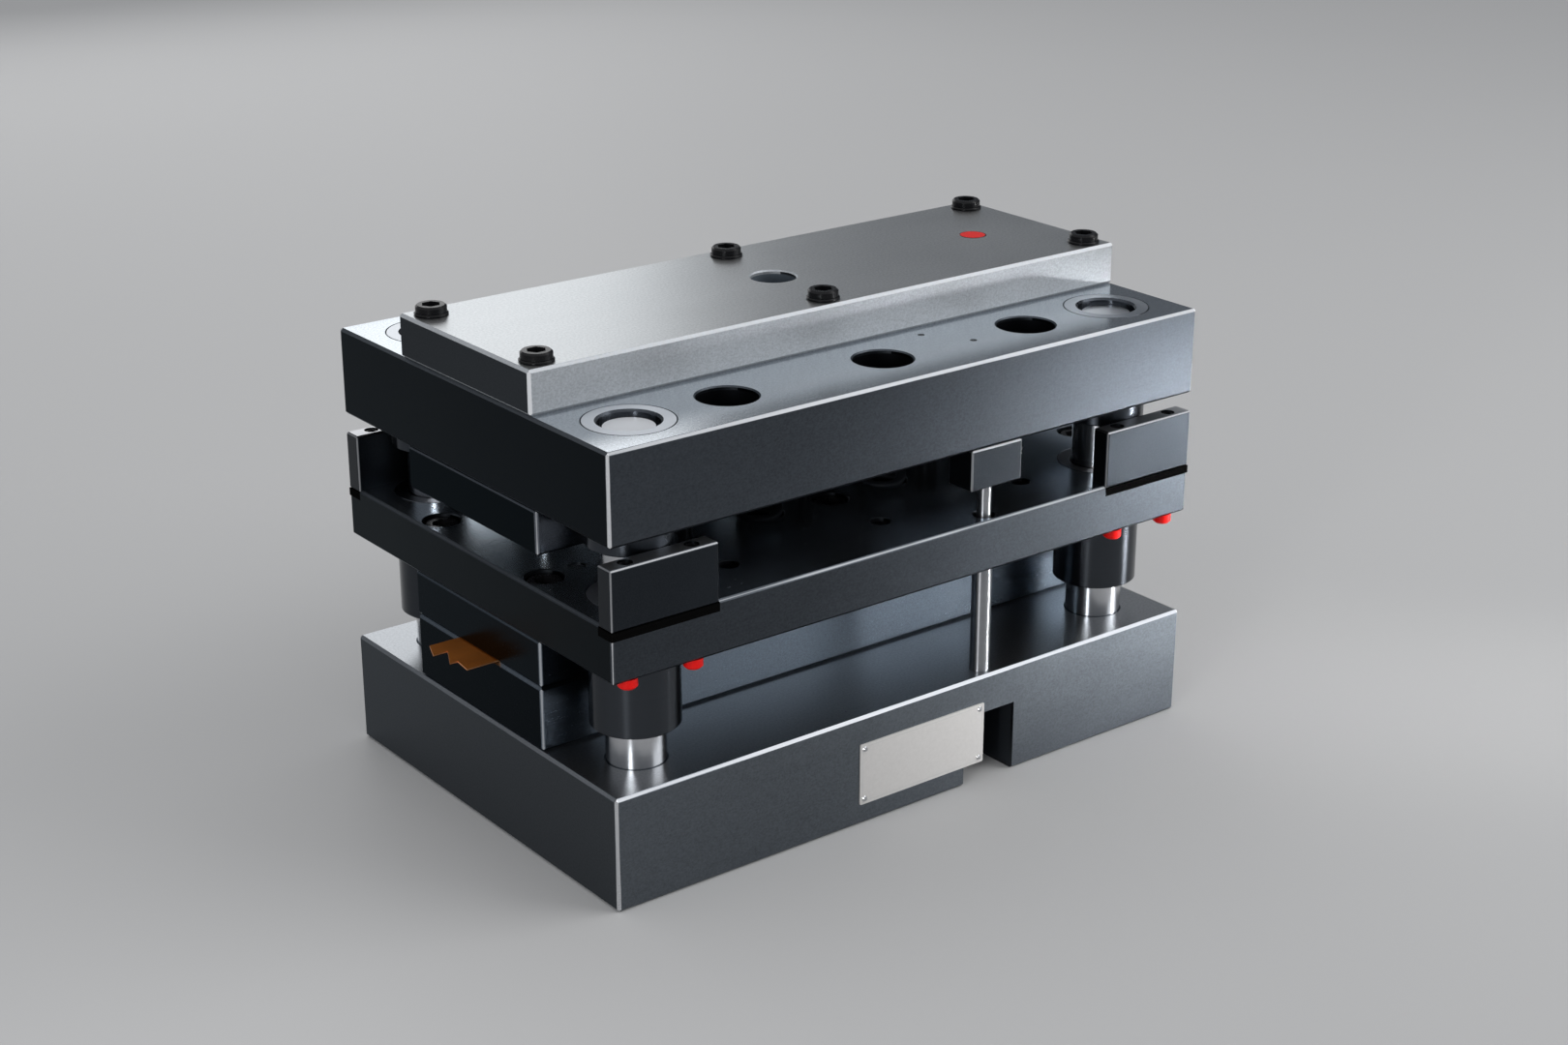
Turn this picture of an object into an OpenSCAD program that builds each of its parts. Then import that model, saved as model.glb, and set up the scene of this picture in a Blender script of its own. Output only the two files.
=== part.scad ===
// Progressive die for thin copper strip, drawn partly open: the stripper holds the strip on the
// die block while the upper die hangs above it on its springs.
// Millimetres, +Z up. X runs along the strip, the strip leaves at -X, and -Y is the front.
// The origin lies under the middle of the lower shoe.

/* [Plates] */
// Length of both shoes, the stripper and the clamp plate
die_l = 500; // [500:5:560]
// Depth of both shoes and of the stripper
die_w = 328; // [328:2:360]
// Thickness of the lower shoe
lower_shoe_t = 80; // [76:1:100]
// Thickness of the die block
die_block_t = 45; // [40:1:60]
// Thickness of the stripper insert
insert_t = 32.7; // [30:0.1:45]
// Thickness of the stripper plate
stripper_t = 37; // [34:1:50]
// Thickness of the punch plate
punch_plate_t = 31; // [26:1:40]
// Thickness of the upper shoe
upper_shoe_t = 62; // [58:1:80]
// Thickness of the clamp plate on top
clamp_t = 30; // [22:1:40]
// Depth of the die block and the stripper insert
block_w = 156; // [156:1:166]
// Depth of the punch plate and the clamp plate
clamp_w = 159; // [156:1:168]
// How far the die block, insert and punch plate stay back from the ends of the shoes
end_step = 1.5; // [0.5:0.5:4]
// Bevel along the edges of the plates
edge_c = 2; // [0.5:0.5:3]

/* [Opening] */
// Gap between the stripper and the punch plate while the upper die hangs
open_gap = 22; // [20:0.5:30]
// Height of the corner blocks above the stripper, which stop the upper die
corner_rise = 39.5; // [37:0.5:42]
// Play left over the corner blocks when the die is closed
stop_play = 0.3; // [0.2:0.1:1]
// Height of the punch tips over the strip while the upper die hangs
tip_rise = 4; // [3:0.5:6]
// Height of the pilot tips over the strip
pilot_rise = 1.5; // [1:0.5:3]

/* [Guide posts and bushes] */
// Diameter of the guide posts
post_d = 40; // [36:1:44]
// Outer diameter of the guide bushes
bush_d = 60; // [56:1:60]
// Distance from a post's axis to the end of the shoe
post_end = 46; // [44:1:60]
// Distance from a post's axis to the front or back of the shoe
post_side = 44; // [44:0.5:50]
// How far the stripper bushes reach below the stripper
lower_bush_drop = 52; // [20:1:60]
// How far the upper bushes reach below the upper shoe
upper_bush_drop = 18; // [6:1:22]
// How far the posts end below the top of the upper shoe
post_top_gap = 4; // [1:0.5:8]
// Running clearance between post and bush, on the radius
run_c = 0.02; // [0.01:0.01:0.05]

/* [Strip and stations] */
// Width of the copper strip
strip_w = 48; // [44:1:50]
// Thickness of the copper strip
strip_t = 1; // [0.4:0.1:1.5]
// Length of strip standing out of the die at each end
strip_out = 26; // [14:1:40]
// Feed of the strip at each stroke
pitch = 60; // [58:0.5:62]
// First station, measured from the middle of the die
first_x = 180; // [176:1:184]
// Diameter of the holes that the pilots enter
pilot_d = 6; // [4:0.5:7]
// Distance of the pilot holes from the middle of the strip
pilot_y = 19; // [18:0.5:20]
// Diameter of the large hole in the blank
hole_d = 12; // [8:0.5:14]
// Place of the large hole, from the middle of the blank
hole_dx = -12; // [-13:0.5:-11]
// Diameter of the two small holes in the blank
small_d = 5; // [3:0.5:6]
// Place of the small holes along the strip, from the middle of the blank
small_dx = 12; // [10:0.5:14]
// Place of the small holes across the strip
small_dy = 7; // [7:0.5:8]
// Width of the slot in the blank
slot_w = 4; // [3:0.5:5]
// Length of the slot in the blank
slot_l = 14; // [10:0.5:16]
// Place of the slot, from the middle of the blank
slot_dx = 1; // [0:0.5:2]
// Length of the two side trims
trim_l = 20; // [14:0.5:24]
// Width of the two side trims
trim_w = 6; // [4:0.5:6]
// Distance of the side trims from the middle of the strip
trim_y = 14.5; // [14:0.5:15]
// Length of the blank
blank_l = 44; // [38:0.5:45]
// Width of the blank
blank_w = 26; // [22:0.5:26]
// Corner radius of the blank
blank_r = 6; // [2:0.5:8]
// Cutting clearance between punch and die opening, on each side
cut_c = 0.05; // [0.03:0.01:0.08]
// Guiding clearance between punch and insert window, on each side
guide_c = 0.04; // [0.02:0.01:0.08]

/* [Springs and stripper bolts] */
// Outer diameter of the die springs
spring_d = 32; // [28:1:34]
// Turns of a die spring
spring_turns = 6; // [5:1:8]
// Distance of the springs from the middle of the die, front and back
spring_y = 56; // [55:1:58]
// Places of the springs along the die: the inner ones from its middle, the outer ones from its ends
spring_x = [55, 85];
// Diameter of the stripper bolts' shoulders
shoulder_d = 16; // [12:1:16]
// Distance of the stripper bolts from the middle of the die, front and back
bolt_y = 39; // [38:0.5:40]
// Distance between neighbouring stripper bolts along the die
bolt_step = 110; // [106:1:114]

/* [Corner blocks] */
// Length of a corner block
corner_l = 82; // [76:1:90]
// Depth of a corner block
corner_w = 15; // [11:0.5:15]
// Thickness of the pad under a corner block
pad_t = 5.5; // [3:0.5:7]
// How far a corner block is let into the stripper
corner_sink = 2; // [1:0.5:3]
// Height of the red bumpers below the stripper
bumper_h = 7; // [5:0.5:10]
// Diameter of the red bumpers
bumper_d = 13; // [10:0.5:13]

/* [Stroke probe] */
// Place of the probe pin along the front
probe_x = 64; // [60:0.5:68]
// Distance of the probe pin from the front face
probe_side = 12; // [11:0.5:13]
// Diameter of the probe pin
probe_d = 10; // [8:0.5:10]
// Outer diameter of the sleeve around the pin
sleeve_d = 14; // [14:0.5:16]
// Length of the probe block along the front
probe_block_l = 45; // [42:1:52]
// Height of the probe block
probe_block_h = 29; // [24:1:32]

/* [Holes and marks] */
// Diameter of the holes along the ledges of the upper shoe
ledge_d = 41; // [30:1:44]
// Distance between neighbouring ledge holes
ledge_step = 128; // [120:1:134]
// Distance of the ledge holes from the front and back of the shoe
ledge_side = 45; // [44:1:48]
// Diameter of the hole in the middle of the clamp plate
centre_d = 32; // [25:1:40]
// Width of the notch in the front of the lower shoe
notch_w = 46; // [36:1:50]
// Height of the notch
notch_h = 52; // [40:1:55]
// Depth of the notch
notch_d = 37; // [25:1:45]
// Length of the nameplate
nameplate_l = 111; // [90:1:112]
// Height of the nameplate
nameplate_h = 45; // [30:1:50]

/* [Hidden] */
$fn = 48;

// Clearances between neighbours: a seat with play, a pressed pin, a screw in its hole
air = 0.3;
press_c = 0.01;
screw_c = 0.6;
eps = 0.01;

// Heights of the seats, from the floor up
z_shoe = lower_shoe_t;
z_die = z_shoe + die_block_t;
z_strip = z_die + strip_t;
z_insert = z_die + air;
z_stripper = z_insert + insert_t;
z_stripper_top = z_stripper + stripper_t;
z_punch_plate = z_stripper_top + open_gap;
z_upper = z_punch_plate + punch_plate_t;
z_clamp = z_upper + upper_shoe_t;
z_top = z_clamp + clamp_t;
z_corner_top = z_stripper_top + corner_rise;
stroke = z_upper - z_corner_top - stop_play;

block_l = die_l - 2 * end_step;
post_x = die_l / 2 - post_end;
post_y = die_w / 2 - post_side;

// Socket screws by thread: head diameter, head height, hexagon across corners
function head_d(d) = 1.5 * d;
function hex_d(d) = 0.95 * d;
function bore_d(d) = head_d(d) + 2;

// Cap screws of the die block, the stripper insert and the punch plate
big_d = 16;
mid_d = 12;
dowel_d = 12;
clamp_screw_inset = 16; // from the ends
clamp_screw_side = 15.5; // from the sides
clamp_screw_x = die_l / 2 - clamp_screw_inset;
clamp_screw_y = clamp_w / 2 - clamp_screw_side;
clamp_mid_dx = 7;
clamp_screw_d = 14;
clamp_head_d = 21;
clamp_head_h = 5;
clamp_thread = 25;
washer_d = 23;
washer_t = 2;

// Screws and dowels of the punch plate, measured from its ends and sides
punch_screw_inset = 50;
punch_screw_side = 17.5;
punch_screw_x = die_l / 2 - punch_screw_inset;
punch_screw_y = clamp_w / 2 - punch_screw_side;
punch_screw_mid = 27;
punch_screw_places = concat([for (sx = [-1, 1], sy = [-1, 1]) [sx * punch_screw_x, sy * punch_screw_y]],
    [for (s = [-1, 1]) [s * punch_screw_mid, s * punch_screw_y]]);
punch_dowel_inset = 25;
punch_dowel_x = die_l / 2 - punch_dowel_inset;
punch_dowel_y = 28;
punch_dowel_places = [for (s = [-1, 1]) [s * punch_dowel_x, s * punch_dowel_y]];
punch_dowel_depth = 30;
punch_dowel_gap = 4;

// Screws and dowels of the stripper insert
insert_screw_inset = 16;
insert_screw_side = 14;
insert_screw_x = die_l / 2 - insert_screw_inset;
insert_screw_y = block_w / 2 - insert_screw_side;
insert_screw_places = [for (x = [-insert_screw_x, 0, insert_screw_x], s = [-1, 1]) [x, s * insert_screw_y]];
insert_dowel_inset = 43;
insert_dowel_side = 17;
insert_dowel_x = die_l / 2 - insert_dowel_inset;
insert_dowel_y = block_w / 2 - insert_dowel_side;
insert_dowel_places = [for (s = [-1, 1]) [s * insert_dowel_x, s * insert_dowel_y]];
insert_dowel_depth = 20;

// Screws and dowels of the die block
die_screw_inset = 25;
die_screw_side = 18;
die_screw_x = die_l / 2 - die_screw_inset;
die_screw_y = block_w / 2 - die_screw_side;
die_screw_places = [for (x = [-die_screw_x, 0, die_screw_x], s = [-1, 1]) [x, s * die_screw_y]];
die_dowel_inset = 60;
die_dowel_x = die_l / 2 - die_dowel_inset;
die_dowel_places = [for (s = [-1, 1]) [-s * die_dowel_x, s * die_screw_y]];
die_dowel_depth = 28;
die_dowel_low = 20;

head_sink = 2;
insert_head_sink = 2;
big_thread = 24;
mid_thread = 20;
// Room under the end of a screw or dowel in a blind hole, round a bush beside a plate, and in the
// hollow that clears a bush in a corner block and its pad
blind_c = 2;
bush_c = 3;
corner_bush_c = 0.5;

// Stations of the strip, from the feed side to the exit
function station(i) = first_x - pitch * i;
station_count = 7;
pierce_x = first_x + pitch / 2;
pilot_count = station_count - 1;
trim_r = 2;
die_land = 10;
relief_c = 1;
slug_c = 2.5;
button_wall = 4;
button_h = 22;
pilot_pin_c = 0.05;
pilot_relief_c = 0.3;
pilot_relief_h = 22;

// Punches: shanks held by the punch plate, shaped points below
shank_c = 0.5;
head_c = 0.2;
head_lip = 2;
punch_head_h = 5;
z_tip = z_strip + tip_rise;
z_pilot_tip = z_strip + pilot_rise;
z_shank_end = z_stripper + stroke + 4;
shank_wall = 2;
slot_shank_d = slot_l + 2 * shank_wall + 2;
blank_shank_c = 3;
trim_shank_c = 3;
pilot_nose_h = 4;

// Stock guides beside the strip
guide_pin_d = 8;
guide_play = 0.25;
guide_y = strip_w / 2 + guide_play + guide_pin_d / 2;
guide_end = 25;
guide_mid = 75;
guide_x = die_l / 2 - guide_end;
guide_xs = [-guide_x, -guide_mid, guide_mid, guide_x];
guide_rise = 6;
guide_sink = 15;

// Springs, stripper bolts and their pockets
pocket_c = 0.8;
spring_pocket_low = 5;
spring_pocket_high = 37;
spring_z0 = z_stripper_top - spring_pocket_low;
spring_z1 = z_upper + spring_pocket_high;
spring_wire_w = 7;
spring_wire_h = 4;
spring_segments = 10;
spring_places = [for (x = [spring_x[0], die_l / 2 - spring_x[1]], sx = [-1, 1], sy = [-1, 1])
    [sx * x, sy * spring_y]];
bolt_places = [for (x = [-bolt_step, 0, bolt_step], s = [-1, 1]) [x, s * bolt_y]];
bolt_head_d = shoulder_d + 8;
bolt_head_h = 10;
bolt_bore_h = bolt_head_h + stroke + 1.5;
bolt_thread_d = shoulder_d - 4;
bolt_thread = 24;

// Corner blocks and what hangs under them
corner_x = die_l / 2 - corner_l / 2;
corner_y = die_w / 2 - corner_w / 2;
corner_hole_inset = 16;
corner_screw_d = 6;
corner_head_h = 6;
z_pad = z_stripper_top - corner_sink - pad_t;

// Stroke probe at the front
probe_y = -die_w / 2 + probe_side;
sleeve_sink = 16;
z_sleeve_top = z_stripper + 20;
sleeve_floor = 4;
z_pin_end = z_shoe + sleeve_floor + stroke + 3;
probe_pin_sink = 10;
probe_screw_d = 6;
probe_screw_dx = probe_block_l / 2 - 7;
probe_block_c = 1;

nameplate_t = 1;
nameplate_x = 2.5;
nameplate_z = 37.5;
rivet_inset = 4;
rivet_d = 2.4;
plug_x = 184;
plug_d = 20;
plug_t = 6;
ledge_pin_x = [55, 75];
ledge_pin_side = [70.5, 39.5];
ledge_pin_places = [for (i = [0, 1]) [ledge_pin_x[i], ledge_pin_side[i] - die_w / 2]];
ledge_pin_d = 5;
ledge_pin_h = 20;
stripper_hole_d = 14;
ledge_places = [for (i = [-1:1], s = [-1, 1]) [i * ledge_step, s * (die_w / 2 - ledge_side)]];

// A rectangle with its corners cut off at 45 degrees
module bevel_rect(l, w, c) {
    polygon([[-l / 2 + c, -w / 2], [l / 2 - c, -w / 2], [l / 2, -w / 2 + c], [l / 2, w / 2 - c],
        [l / 2 - c, w / 2], [-l / 2 + c, w / 2], [-l / 2, w / 2 - c], [-l / 2, -w / 2 + c]]);
}

// A ground plate standing on z = 0, with all twelve edges bevelled
module plate(l, w, t, c = edge_c) {
    intersection() {
        linear_extrude(t) bevel_rect(l, w, c);
        translate([0, w / 2, t / 2]) rotate([90, 0, 0]) linear_extrude(w) bevel_rect(l, t, c);
        translate([-l / 2, 0, t / 2]) rotate([90, 0, 90]) linear_extrude(l) bevel_rect(w, t, c);
    }
}

module at(places) {
    for (p = places)
        translate([p[0], p[1], 0]) children();
}

module at_four(x, y) {
    for (sx = [-1, 1], sy = [-1, 1])
        translate([sx * x, sy * y, 0]) children();
}

// A round hole from z0 to z1, past both faces, with bevelled mouths where c is given
module bore(d, z0, z1, c_low = 0, c_high = 0) {
    translate([0, 0, z0 - eps]) cylinder(d = d, h = z1 - z0 + 2 * eps);
    if (c_high > 0)
        translate([0, 0, z1 - c_high]) cylinder(d1 = d, d2 = d + 2 * c_high + 2 * eps, h = c_high + eps);
    if (c_low > 0)
        translate([0, 0, z0 - eps]) cylinder(d1 = d + 2 * c_low + 2 * eps, d2 = d, h = c_low + eps);
}

// A turned pin from z0 to z1 with bevelled ends
module pin(d, z0, z1, c_low = 0.5, c_high = 0.5) {
    rotate_extrude()
        polygon([[0, z0], [d / 2 - c_low, z0], [d / 2, z0 + c_low], [d / 2, z1 - c_high],
            [d / 2 - c_high, z1], [0, z1]]);
}

// A socket screw hanging down from z = 0, the top of its head
module cap_screw(d, length, head = 0, head_h = 0) {
    hd = head > 0 ? head : head_d(d);
    hh = head_h > 0 ? head_h : d;
    socket = min(hh * 0.6, d * 0.5);
    difference() {
        union() {
            pin(hd, -hh, 0, 0.3, 0.06 * hd);
            pin(d, -hh - length, -hh + eps, 1, 0);
        }
        translate([0, 0, -socket]) cylinder(d = hex_d(d), h = socket + 1, $fn = 6);
    }
}

module rounded_rect(l, w, r) {
    square([l - 2 * r, w], center = true);
    square([l, w - 2 * r], center = true);
    for (sx = [-1, 1], sy = [-1, 1])
        translate([sx * (l / 2 - r), sy * (w / 2 - r)]) circle(r = r);
}

module slot_shape(w, l) {
    square([w, l - w], center = true);
    for (s = [-1, 1])
        translate([0, s * (l - w) / 2]) circle(d = w);
}

// Places of the cutting stations, i feeds after the station itself
module at_pierce(i = 0) {
    for (s = [-1, 1])
        translate([pierce_x - pitch * i, s * pilot_y]) children();
}

module at_hole(i = 0) {
    translate([station(i) + hole_dx, 0]) children();
}

module at_small(i = 0) {
    for (s = [-1, 1])
        translate([station(1 + i) + small_dx, s * small_dy]) children();
}

module at_slot(i = 0) {
    translate([station(2 + i) + slot_dx, 0]) children();
}

module at_trims(i = 0) {
    for (s = [-1, 1])
        translate([station(4 + i), s * trim_y]) children();
}

module at_blank() {
    translate([station(station_count - 1), 0]) children();
}

module at_pilots() {
    for (i = [1:pilot_count])
        at_pierce(i) children();
}

// Outlines of the cutting points, grown by c on each side
module round_points(c) {
    at_pierce() circle(d = pilot_d + 2 * c);
    at_hole() circle(d = hole_d + 2 * c);
    at_small() circle(d = small_d + 2 * c);
}

module slot_point(c) {
    slot_shape(slot_w + 2 * c, slot_l + 2 * c);
}

module trim_point(c) {
    rounded_rect(trim_l + 2 * c, trim_w + 2 * c, trim_r + c);
}

module blank_point(c) {
    rounded_rect(blank_l + 2 * c, blank_w + 2 * c, blank_r + c);
}

module shaped_points(c) {
    at_slot() slot_point(c);
    at_trims() trim_point(c);
    at_blank() blank_point(c);
}

// Outlines of the punch shanks, grown by c on each side
module shank_outlines(c) {
    at_pierce() circle(d = pilot_d + 2 * shank_wall + 2 * c);
    at_pilots() circle(d = pilot_d + 2 * shank_wall + 2 * c);
    at_hole() circle(d = hole_d + 2 * shank_wall + 2 * c);
    at_small() circle(d = small_d + 2 * shank_wall + 2 * c);
    at_slot() circle(d = slot_shank_d + 2 * c);
    at_trims() trim_point(trim_shank_c + c);
    at_blank() blank_point(blank_shank_c + c);
}

// Heads of the punches, let into the top of the punch plate
module head_outlines(c) {
    at_pierce() circle(d = pilot_d + 2 * shank_wall + 2 * head_lip + 2 * c);
    at_pilots() circle(d = pilot_d + 2 * shank_wall + 2 * head_lip + 2 * c);
    at_hole() circle(d = hole_d + 2 * shank_wall + 2 * head_lip + 2 * c);
    at_small() circle(d = small_d + 2 * shank_wall + head_lip + 2 * c);
    at_slot() circle(d = slot_shank_d + 2 * head_lip + 2 * c);
    at_trims() trim_point(trim_shank_c + head_lip + c);
    at_blank() blank_point(blank_shank_c + head_lip + c);
}

// A round punch: head and shank in the punch plate, thin point below
module round_punch(d, lip = 2 * head_lip) {
    shank_d = d + 2 * shank_wall;
    rotate_extrude()
        polygon([[0, z_tip], [d / 2, z_tip], [d / 2, z_shank_end - shank_wall],
            [shank_d / 2, z_shank_end], [shank_d / 2, z_upper - punch_head_h],
            [(shank_d + lip) / 2, z_upper - punch_head_h], [(shank_d + lip) / 2, z_upper], [0, z_upper]]);
}

// A shaped punch from three outlines: its point, its shank and its head
module shaped_punch() {
    translate([0, 0, z_tip]) linear_extrude(z_upper - z_tip) children(0);
    translate([0, 0, z_shank_end]) linear_extrude(z_upper - z_shank_end) children(1);
    translate([0, 0, z_upper - punch_head_h]) linear_extrude(punch_head_h) children(2);
}

module lower_shoe() {
    color("silver") difference() {
        plate(die_l, die_w, lower_shoe_t);
        translate([probe_x - notch_w / 2, -die_w / 2 - 1, -1]) cube([notch_w, notch_d + 1, notch_h + 1]);
        at_four(post_x, post_y) bore(post_d + 2 * press_c, 0, z_shoe, 1, 1);
        at(die_screw_places) {
            bore(bore_d(big_d), 0, big_d + head_sink);
            bore(big_d + 2 * screw_c, 0, z_shoe);
        }
        at(die_dowel_places) bore(dowel_d + 2 * press_c, 0, z_shoe);
        translate([0, 0, -1]) linear_extrude(z_shoe + 2) {
            round_points(slug_c);
            shaped_points(slug_c);
        }
        translate([probe_x, probe_y, 0]) bore(sleeve_d + 2 * press_c, z_shoe - sleeve_sink, z_shoe);
    }
}

module guide_posts() {
    color("gainsboro") at_four(post_x, post_y) pin(post_d, 4, z_clamp - post_top_gap, 2, 3.3);
}

module die_block() {
    color("slategray") difference() {
        translate([0, 0, z_shoe]) plate(block_l, block_w, die_block_t);
        at(die_screw_places) bore(big_d + 2 * press_c, z_shoe, z_shoe + big_thread + blind_c);
        at(die_dowel_places) bore(dowel_d + 2 * press_c, z_shoe, z_shoe + die_dowel_depth + blind_c);
        at_four(post_x, post_y) bore(bush_d + 2 * bush_c, z_shoe, z_die);
        at([for (x = guide_xs, s = [-1, 1]) [x, s * guide_y]])
            bore(guide_pin_d + 2 * press_c, z_die - guide_sink, z_die);
        at_pilots() bore(pilot_d + 2 * pilot_relief_c, z_die - pilot_relief_h, z_die);
        translate([0, 0, z_shoe - 1]) linear_extrude(die_block_t + 2) {
            round_points(relief_c);
            shaped_points(cut_c);
        }
        translate([0, 0, z_shoe - 1]) linear_extrude(die_block_t - die_land + 1) shaped_points(relief_c);
        translate([0, 0, z_die - button_h]) linear_extrude(button_h + 1) button_outlines(press_c);
    }
}

module button_outlines(c) {
    at_pierce() circle(d = pilot_d + 2 * button_wall + 2 * c);
    at_hole() circle(d = hole_d + 2 * button_wall + 2 * c);
    at_small() circle(d = small_d + button_wall * 1.8 + 2 * c);
}

module die_buttons() {
    color("lightsteelblue") difference() {
        translate([0, 0, z_die - button_h]) linear_extrude(button_h) button_outlines(0);
        translate([0, 0, z_die - button_h - 1]) linear_extrude(button_h + 2) round_points(cut_c);
        translate([0, 0, z_die - button_h - 1]) linear_extrude(button_h - die_land + 1)
            round_points(relief_c / 2);
    }
}

module die_block_screws() {
    color("dimgray") at(die_screw_places)
        translate([0, 0, head_sink]) rotate([180, 0, 0])
            cap_screw(big_d, z_shoe - head_sink - big_d + big_thread);
}

module die_block_dowels() {
    color("silver") at(die_dowel_places) pin(dowel_d, die_dowel_low, z_shoe + die_dowel_depth, 1, 1);
}

module stock_guides() {
    color("gainsboro") at([for (x = guide_xs, s = [-1, 1]) [x, s * guide_y]])
        pin(guide_pin_d, z_die - guide_sink, z_die + guide_rise, 0.5, 1.5);
}

// The strip: holes appear station by station, the last station has dropped one blank,
// and the leading end still has the stepped edge that it was cut with
module strip_outline() {
    lead = -die_l / 2 - strip_out;
    half = strip_w / 2;
    tooth = strip_w * 3 / 16;
    polygon([[die_l / 2 + strip_out, -half], [die_l / 2 + strip_out, half], [lead + 5, half],
        [lead - 1, tooth], [lead + 10, tooth], [lead + 1, -tooth], [lead + 7, -tooth], [lead + 5, -half]]);
}

module strip() {
    color("chocolate") translate([0, 0, z_die]) linear_extrude(strip_t) difference() {
        strip_outline();
        for (i = [0:pilot_count]) {
            at_pierce(i) circle(d = pilot_d + 2 * cut_c);
            at_hole(i) circle(d = hole_d + 2 * cut_c);
        }
        for (i = [0:station_count - 2])
            at_small(i) circle(d = small_d + 2 * cut_c);
        for (i = [0:station_count - 3])
            at_slot(i) slot_point(cut_c);
        for (i = [0:station_count - 5])
            at_trims(i) trim_point(cut_c);
        at_blank() blank_point(cut_c);
    }
}

module probe_sleeve() {
    color("gainsboro") translate([probe_x, probe_y, 0]) difference() {
        pin(sleeve_d, z_shoe - sleeve_sink, z_sleeve_top, 1, 0.5);
        bore(probe_d + 4 * run_c, z_shoe + sleeve_floor, z_sleeve_top, 0, 0.5);
    }
}

module nameplate_at() {
    translate([nameplate_x, -die_w / 2, nameplate_z]) rotate([90, 0, 0]) children();
}

module nameplate() {
    color("whitesmoke") nameplate_at() linear_extrude(nameplate_t) difference() {
        rounded_rect(nameplate_l, nameplate_h, 1);
        at_four(nameplate_l / 2 - rivet_inset, nameplate_h / 2 - rivet_inset)
            circle(d = rivet_d + 2 * press_c);
    }
}

module nameplate_rivets() {
    t = nameplate_t;
    r = rivet_d / 2;
    color("silver") nameplate_at() at_four(nameplate_l / 2 - rivet_inset, nameplate_h / 2 - rivet_inset)
        rotate_extrude() polygon([[0, 0], [r, 0], [r, t], [r + 0.8, t], [r + 0.3, t + 0.7], [0, t + 0.9]]);
}

module stripper_plate() {
    color("silver") difference() {
        translate([0, 0, z_stripper]) plate(die_l, die_w, stripper_t);
        at_four(post_x, post_y) bore(bush_d + 2 * press_c, z_stripper, z_stripper_top, 0.5, 0.5);
        at_four(corner_x + eps, corner_y + eps) translate([0, 0, z_pad]) linear_extrude(stripper_t)
            square([corner_l + 2 * eps, corner_w + 2 * eps], center = true);
        at_four_corners() bore(corner_screw_d + 2 * screw_c, z_stripper, z_stripper_top);
        at(insert_screw_places) {
            bore(bore_d(big_d), z_stripper_top - big_d - insert_head_sink, z_stripper_top, 0, 0.8);
            bore(big_d + 2 * screw_c, z_stripper, z_stripper_top);
        }
        at(insert_dowel_places) bore(dowel_d + 2 * press_c, z_stripper, z_stripper_top, 0, 0.5);
        at(bolt_places)
            bore(bolt_thread_d + 2 * press_c, z_stripper_top - bolt_thread - blind_c, z_stripper_top);
        at(spring_places) bore(spring_d + 2 * pocket_c, spring_z0, z_stripper_top, 0, 0.5);
        at(ledge_places) bore(stripper_hole_d, z_stripper, z_stripper_top, 0.5, 0.5);
        translate([probe_x, probe_y, 0]) bore(sleeve_d + 2 * screw_c, z_stripper, z_stripper_top, 0.5, 0.5);
        translate([0, 0, z_stripper - 1]) linear_extrude(stripper_t + 2) shank_outlines(shank_c);
    }
}

module stripper_bushes() {
    color("gainsboro") at_four(post_x, post_y) difference() {
        pin(bush_d, z_stripper - lower_bush_drop, z_stripper_top, 1, 0.5);
        bore(post_d + 2 * run_c, z_stripper - lower_bush_drop, z_stripper_top, 1.5, 1.5);
    }
}

module stripper_insert() {
    color("slategray") difference() {
        translate([0, 0, z_insert]) plate(block_l, block_w, insert_t);
        translate([0, 0, z_insert + strip_t / 2 - 1])
            cube([die_l, strip_w + 2 * air, strip_t + 2], center = true);
        at(insert_screw_places) bore(big_d + 2 * press_c, z_stripper - big_thread - blind_c, z_stripper);
        at(insert_dowel_places)
            bore(dowel_d + 2 * press_c, z_stripper - insert_dowel_depth - blind_c, z_stripper);
        at_four(post_x, post_y) bore(bush_d + 2 * bush_c, z_insert, z_stripper);
        at([for (x = guide_xs, s = [-1, 1]) [x, s * guide_y]])
            bore(guide_pin_d + 2 * screw_c, z_insert, z_insert + guide_rise + 2);
        translate([0, 0, z_insert - 1]) linear_extrude(insert_t + 2) {
            round_points(guide_c);
            shaped_points(guide_c);
            at_pilots() circle(d = pilot_d - 2 * pilot_pin_c + 2 * guide_c);
        }
    }
}

module insert_screws() {
    color("dimgray") at(insert_screw_places)
        translate([0, 0, z_stripper_top - insert_head_sink])
            cap_screw(big_d, stripper_t - big_d - insert_head_sink + big_thread);
}

module insert_dowels() {
    color("silver") at(insert_dowel_places)
        pin(dowel_d, z_stripper - insert_dowel_depth, z_stripper_top - 1, 1, 1);
}

// Axes of the screws that hold a corner block, its pad and its bumpers
module at_four_corners() {
    for (x = [die_l / 2 - corner_hole_inset, die_l / 2 - corner_l + corner_hole_inset])
        at_four(x, corner_y) children();
}

module corner_blocks() {
    color("darkgray") difference() {
        at_four(corner_x, corner_y)
            translate([0, 0, z_stripper_top - corner_sink])
                plate(corner_l, corner_w, corner_rise + corner_sink, 1.5);
        at_four_corners() {
            bore(corner_screw_d + 2 * screw_c, z_pad, z_corner_top);
            bore(head_d(corner_screw_d) + 1, z_corner_top - corner_head_h - 1, z_corner_top);
        }
        at_four(post_x, post_y) bore(bush_d + 2 * corner_bush_c, z_pad, z_corner_top);
    }
}

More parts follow.
